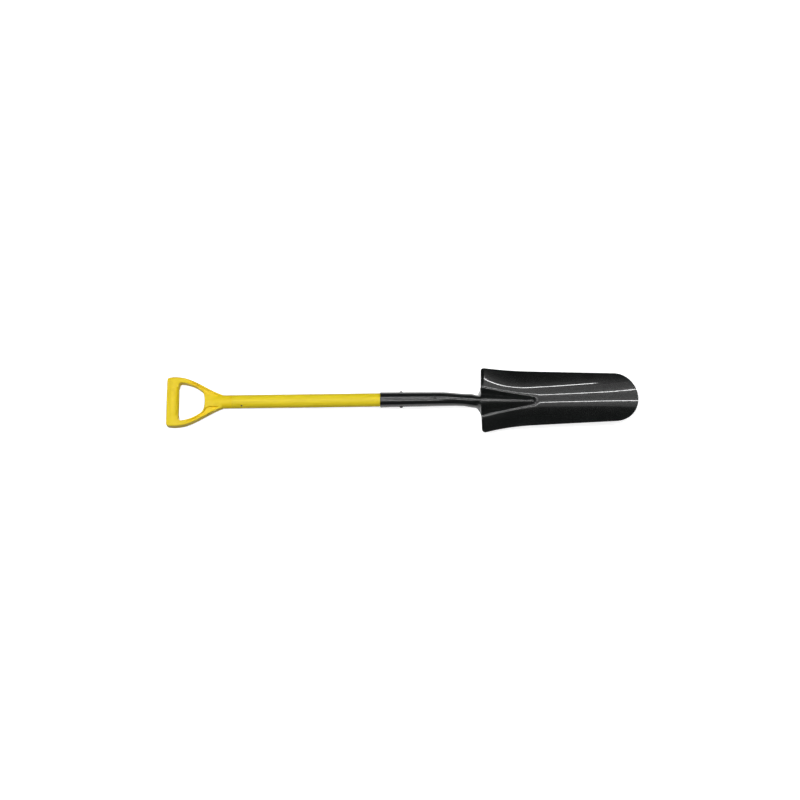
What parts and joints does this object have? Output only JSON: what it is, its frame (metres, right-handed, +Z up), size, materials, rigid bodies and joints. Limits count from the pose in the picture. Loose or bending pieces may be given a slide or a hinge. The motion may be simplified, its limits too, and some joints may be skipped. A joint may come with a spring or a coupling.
{
  "type": "digging shovel",
  "caption": "Rigid digging shovel with a long narrow dished blade, turned foot steps, rolled socket, round shaft and moulded D-grip, lying on its back.",
  "frame": {"origin": "centre of the bounding box on the surface that the shovel lies on", "axes": "+X along the shovel from the grip to the blade's tip, +Y across the blade, +Z up, out of the blade's hollow face"},
  "size_m": [1.2202, 0.1728, 0.0587],
  "materials": {
    "black_steel": "glossy black powder coat with a fine hammered grain",
    "yellow_fibreglass": "satin yellow fibreglass with fine lengthways fibres",
    "yellow_plastic": "satin moulded yellow plastic",
    "plug_wood": "plain turned dowel",
    "pin_steel": "plain steel"
  },
  "bodies": {
    "root": {"blade": "black_steel", "back_plate": "black_steel", "shaft": "yellow_fibreglass", "shaft_plug": "plug_wood", "grip": "yellow_plastic", "grip_pin": "pin_steel", "socket_cross_rivet": "black_steel", "socket_face_rivet": "black_steel"}
  },
  "joints": []
}
